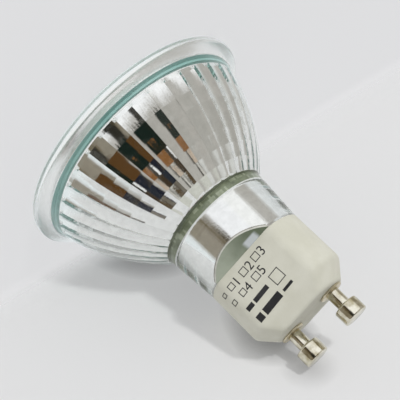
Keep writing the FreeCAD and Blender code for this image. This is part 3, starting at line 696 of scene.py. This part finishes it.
package = dict(dark=(0.012, 0.012, 0.012), light=(0.022, 0.022, 0.022), rough=(0.5, 0.65))
canSleeve = dict(dark=(0.010, 0.013, 0.022), light=(0.016, 0.020, 0.032), rough=(0.25, 0.35))
copper = dict(dark=(0.50, 0.22, 0.10), light=(0.62, 0.30, 0.16), rough=(0.3, 0.4), metal=1.0)
insideLooks = {
    "base_cement": dict(dark=(0.55, 0.53, 0.46), light=(0.66, 0.64, 0.57), rough=(0.8, 0.95), bump=0.5),
    "heat_spreader": dict(dark=(0.62, 0.63, 0.64), light=(0.74, 0.75, 0.76), rough=(0.3, 0.45), metal=1.0),
    "led_board": dict(dark=(0.80, 0.80, 0.78), light=(0.86, 0.86, 0.84), rough=(0.4, 0.5)),
    "cob_led": dict(dark=(0.80, 0.58, 0.10), light=(0.88, 0.68, 0.16), rough=(0.3, 0.45)),
    "driver_board": dict(dark=(0.02, 0.10, 0.035), light=(0.03, 0.14, 0.05), rough=(0.35, 0.5)),
    "bridge_rectifier": package,
    "driver_chip": package,
    "smoothing_capacitor": canSleeve,
    "output_capacitor": canSleeve,
    "buck_choke": dict(dark=(0.022, 0.020, 0.018), light=(0.04, 0.036, 0.032), rough=(0.5, 0.7)),
    "fuse_resistor": dict(dark=(0.10, 0.20, 0.17), light=(0.14, 0.26, 0.22), rough=(0.3, 0.4)),
    "pin_lead_1": copper,
    "pin_lead_2": copper,
    "led_lead_1": copper,
    "led_lead_2": copper,
}
for nodeName, look in insideLooks.items():
    nodes[nodeName].data.materials.clear()
    nodes[nodeName].data.materials.append(finish(nodeName + "Finish", look))
print("inside pieces finished")


# stage and light, sizes in metres and angles in degrees

stage = dict(pale=0.83, glow=0.33, albedo=0.79, floorPale=0.875, floorGlow=0.62, floorAlbedo=0.96,
             paleTint=(0.995, 1.0, 1.02), contact=0.22, reach=0.0045, reachRun=4, contactSamples=8,
             floorHalf=1.5, floorDrop=0.00005, tableAngle=42.0, tableTilt=18.8, tableGap=0.0003,
             tableFoot=0.001, tableFront=0.07, tableBack=0.8, tableTall=1.2, fade=0.010, bounces=32)
daylight = dict(ambient=0.93, overhead=0.27, keyStrength=1.14, keyFrom=(-0.789, -0.604, 0.114), keySpread=6.0)
# what the mirror sees of the room: its walls, the pale right side from rightEdge on, the sky from skyEdge up
room = dict(wall=(0.46, 0.44, 0.41), right=(0.84, 0.885, 0.91), rightEdge=(48.0, 66.0),
            sky=(0.61, 0.61, 0.56), skyEdge=(56.0, 63.0), waver=2.5, waverScale=16.0, waverDetail=4.0,
            waverSpan=(0.25, 0.75))
# each patch: azimuth from the front, elevation, half widths, soft edge, colour
room["patches"] = (
    (0, -62, 190, 34, 6, (0.90, 0.905, 0.91)),
    (-150, 5, 22, 25, 8, (0.62, 0.62, 0.60)),
    (-120, 44, 35, 10, 6, (0.66, 0.66, 0.64)),
    (-95, 24, 30, 14, 8, (0.42, 0.405, 0.375)),
    (-62, -13, 24, 15, 6, (0.98, 0.98, 0.98)),
    (-26, -12, 24, 16, 7, (0.96, 0.96, 0.99)),
    (-154, -22, 30, 12, 8, (0.80, 0.82, 0.84)),
    (-36, 0, 38, 9, 12, (1.02, 1.02, 1.04)),
    (34, -6, 22, 24, 5, (0.28, 0.25, 0.20)),
    (12, -7, 8, 17, 4, (0.16, 0.13, 0.085)),
    (2, -4.5, 7, 17.5, 3, (0.06, 0.045, 0.025)),
    (3, 5, 12, 10, 3, (0.03, 0.028, 0.022)),
    (3, 37, 41, 22, 4, (0.06, 0.055, 0.045)),
    (-13, 24, 23, 9, 2, (0.010, 0.018, 0.014)),
    (26, 24, 18, 9, 2, (0.10, 0.05, 0.018)),
    (-24, 37, 15, 5, 2, (0.24, 0.115, 0.045)),
    (27, 41, 18, 6, 2, (0.016, 0.018, 0.028)),
    (6, 38, 4, 2, 1, (0.9, 0.9, 0.9)),
    (-22, 46, 10, 3.5, 2, (0.55, 0.45, 0.36)),
    (0, 47, 10, 4, 2, (0.05, 0.035, 0.022)),
    (27, 49, 17, 4, 2, (0.025, 0.03, 0.04)),
    (4, 55, 13, 4, 2, (0.10, 0.07, 0.04)),
    (30, 55, 9, 4, 2, (0.17, 0.15, 0.12)),
    (-22, 54, 9, 4, 2, (0.6, 0.58, 0.54)),
    (135, 2, 14, 16, 8, (0.22, 0.25, 0.26)))


def stageMaterial(name, albedo, pale, share, leaning):
    # matt surface that keeps the shadow, with a share of plain pale light for camera, mirrors and glass;
    # one that leans on the lamp has painted shade near it, is clear from behind and fades out at its foot
    s = stage
    material = bpy.data.materials.new(name)
    material.use_nodes = True
    tree = material.node_tree
    tree.nodes.clear()
    matt = addNode(tree, "ShaderNodeBsdfDiffuse")
    glow = addNode(tree, "ShaderNodeEmission")
    tones = ((matt, np.full(3, albedo)), (glow, pale * np.array(s["paleTint"])))
    for node, tone in tones:
        node.inputs["Color"].default_value = (*tone, 1)
    if leaning:
        height = axesOf(tree, addNode(tree, "ShaderNodeTexCoord").outputs["Object"])["Z"]
        # painted contact shade where the lamp is near the sheet, and none along the floor
        near = addNode(tree, "ShaderNodeAmbientOcclusion", samples=s["contactSamples"])
        near.inputs["Distance"].default_value = s["reach"]
        nearFloor = mapRange(tree, height, s["reach"], s["reach"] * s["reachRun"], 1.0, 0.0, True)
        unshaded = mathNode(tree, "MAXIMUM", near.outputs["AO"], nearFloor)
        # the matt colour and the pale glow both take the painted shade
        for node, tone in tones:
            shaded = mixColour(tree, unshaded, (*(tone * s["contact"]), 1), (*tone, 1))
            tree.links.new(shaded, node.inputs["Color"])
    light = addNode(tree, "ShaderNodeLightPath")
    seen = light.outputs["Is Camera Ray"]
    for ray in ("Is Glossy Ray", "Is Transmission Ray"):
        seen = mathNode(tree, "MAXIMUM", seen, light.outputs[ray])
    surface = mixShader(tree, mathNode(tree, "MULTIPLY", seen, share), matt.outputs[0], glow.outputs[0])
    if leaning:
        behind = addNode(tree, "ShaderNodeNewGeometry").outputs["Backfacing"]
        clear = addNode(tree, "ShaderNodeBsdfTransparent").outputs[0]
        surface = mixShader(tree, behind, surface, clear)
        surface = mixShader(tree, mapRange(tree, height, 0.0, s["fade"], 0.0, 1.0, True), clear, surface)
    tree.links.new(surface, addNode(tree, "ShaderNodeOutputMaterial").inputs["Surface"])
    return material


def stagePlane(name, corner, across, up, material):
    # flat sheet from a corner and its two sides
    mesh = bpy.data.meshes.new(name)
    corner, across, up = (np.array(v, float) for v in (corner, across, up))
    spots = (corner, corner + across, corner + across + up, corner + up)
    mesh.from_pydata([tuple(spot) for spot in spots], [], [(0, 1, 2, 3)])
    mesh.materials.append(material)
    sheet = bpy.data.objects.new(name, mesh)
    bpy.context.scene.collection.objects.link(sheet)
    return sheet


def buildStage():
    # floor under the rim, and a backdrop that leans on the rim and on one pin like a table under a lying lamp
    s = stage
    half = s["floorHalf"]
    floor = stagePlane("floor", (-half, -half, -s["floorDrop"]), (2 * half, 0, 0), (0, 2 * half, 0),
                       stageMaterial("paleFloor", s["floorAlbedo"], s["floorPale"], s["floorGlow"], False))
    floor.visible_glossy = False
    floor.visible_transmission = False
    floor.visible_shadow = False
    angle, tilt = math.radians(s["tableAngle"]), math.radians(s["tableTilt"])
    way = np.array([math.cos(angle), math.sin(angle), 0])
    normal = -np.array([math.cos(tilt) * way[0], math.cos(tilt) * way[1], math.sin(tilt)])
    level = np.array([-way[1], way[0], 0])
    climb = np.cross(normal, level)
    climb *= np.sign(climb[2])
    touch = way * bowl["rimRadius"] * mm + np.array([0, 0, s["tableFoot"]]) - normal * s["tableGap"]
    start = touch - level * s["tableFront"] - climb * s["tableFoot"]
    sheet = stagePlane("backdrop", start, level * (s["tableBack"] + s["tableFront"]), climb * s["tableTall"],
                       stageMaterial("paleBackdrop", s["albedo"], s["pale"], s["glow"], True))
    if np.array(sheet.data.polygons[0].normal) @ normal < 0:
        sheet.data.flip_normals()
    sheet.visible_shadow = False
    sheet.visible_diffuse = False


def buildWorld():
    # pale to the camera, even light to matt surfaces, the room's patches to mirrors and glass
    world = bpy.data.worlds.new("room")
    bpy.context.scene.world = world
    world.use_nodes = True
    tree = world.node_tree
    tree.nodes.clear()
    place = addNode(tree, "ShaderNodeTexCoord").outputs["Generated"]
    x, y, z = axesOf(tree, place)
    noise = addNode(tree, "ShaderNodeTexNoise")
    noise.inputs["Scale"].default_value = room["waverScale"]
    noise.inputs["Detail"].default_value = room["waverDetail"]
    tree.links.new(place, noise.inputs["Vector"])
    waver = mapRange(tree, noise.outputs["Fac"], *room["waverSpan"], -room["waver"], room["waver"])
    degrees = 180 / math.pi
    heading = mathNode(tree, "ARCTAN2", x, mathNode(tree, "MULTIPLY", y, -1.0))
    azimuth = mathNode(tree, "ADD", mathNode(tree, "MULTIPLY", heading, degrees), waver)
    rise = mathNode(tree, "ARCSINE", z)
    elevation = mathNode(tree, "SUBTRACT", mathNode(tree, "MULTIPLY", rise, degrees), waver)
    overhead = mapRange(tree, elevation, *room["skyEdge"], 0.0, 1.0, True)
    colour = mixColour(tree, overhead, (*room["wall"], 1), (*room["sky"], 1))
    rightward = mapRange(tree, azimuth, *room["rightEdge"], 0.0, 1.0, True)
    colour = mixColour(tree, rightward, colour, (*room["right"], 1))
    for a, e, halfA, halfE, soft, tint in room["patches"]:
        offA = mathNode(tree, "ABSOLUTE", mathNode(tree, "SUBTRACT", azimuth, float(a)))
        offE = mathNode(tree, "ABSOLUTE", mathNode(tree, "SUBTRACT", elevation, float(e)))
        maskA = mapRange(tree, offA, halfA - soft, halfA + soft, 1.0, 0.0, True)
        maskE = mapRange(tree, offE, halfE - soft / 2, halfE + soft / 2, 1.0, 0.0, True)
        colour = mixColour(tree, mathNode(tree, "MULTIPLY", maskA, maskE), colour, (*tint, 1))
    mirrored = addNode(tree, "ShaderNodeBackground")
    tree.links.new(colour, mirrored.inputs["Color"])
    even = addNode(tree, "ShaderNodeBackground")
    even.inputs["Color"].default_value = (1, 1, 1, 1)
    strength = mapRange(tree, z, 0.0, 1.0, daylight["ambient"], daylight["overhead"])
    tree.links.new(strength, even.inputs["Strength"])
    pale = addNode(tree, "ShaderNodeBackground")
    pale.inputs["Color"].default_value = (stage["pale"],) * 3 + (1,)
    light = addNode(tree, "ShaderNodeLightPath")
    shiny = mathNode(tree, "MAXIMUM", light.outputs["Is Glossy Ray"], light.outputs["Is Transmission Ray"])
    surface = mixShader(tree, shiny, even.outputs[0], mirrored.outputs[0])
    surface = mixShader(tree, light.outputs["Is Camera Ray"], surface, pale.outputs[0])
    tree.links.new(surface, addNode(tree, "ShaderNodeOutputWorld").inputs["Surface"])


def buildKey():
    # one soft sun, which mirrors and glass don't show
    lamp = bpy.data.lights.new("softKey", "SUN")
    lamp.energy = daylight["keyStrength"]
    lamp.angle = math.radians(daylight["keySpread"])
    key = bpy.data.objects.new("softKey", lamp)
    key.rotation_euler = Vector(daylight["keyFrom"]).to_track_quat("Z", "Y").to_euler()
    key.visible_glossy = False
    key.visible_transmission = False
    bpy.context.scene.collection.objects.link(key)


# camera: angles in degrees, lengths in metres, focal length and frame in pixels, sensor in millimetres

view = dict(azimuth=-9.60, elevation=19.16, roll=134.23, distance=0.1781, aim=(-0.00046, 0.0, 0.01772),
            focal=956.4, frame=400, sensor=36.0, nearest=0.01)


def buildCamera():
    # back points from the aim to the camera, across and upward are the picture's axes after the roll
    v = view
    azimuth, elevation, roll = (math.radians(v[key]) for key in ("azimuth", "elevation", "roll"))
    back = np.array([math.sin(azimuth) * math.cos(elevation), -math.cos(azimuth) * math.cos(elevation),
                     math.sin(elevation)])
    right = np.array([math.cos(azimuth), math.sin(azimuth), 0])
    up = np.cross(back, right)
    across = math.cos(roll) * right + math.sin(roll) * up
    upward = -math.sin(roll) * right + math.cos(roll) * up
    lens = bpy.data.cameras.new("photoCamera")
    lens.sensor_width = v["sensor"]
    lens.lens = v["sensor"] * v["focal"] / v["frame"]
    lens.clip_start = v["nearest"]
    camera = bpy.data.objects.new("photoCamera", lens)
    placed = Matrix.Identity(4)
    for column, axis in enumerate((across, upward, back)):
        placed.col[column][:3] = axis
    placed.translation = Vector(v["aim"]) + Vector(back) * v["distance"]
    camera.matrix_world = placed
    bpy.context.scene.collection.objects.link(camera)
    bpy.context.scene.camera = camera


buildStage()
buildWorld()
buildKey()
buildCamera()
bpy.context.scene.view_settings.view_transform = "Standard"
# light that the mirror and the glass wall pass on between them comes out again only after many turns
for kind in ("max_bounces", "glossy_bounces", "transmission_bounces"):
    setattr(bpy.context.scene.cycles, kind, stage["bounces"])
print("stage set")
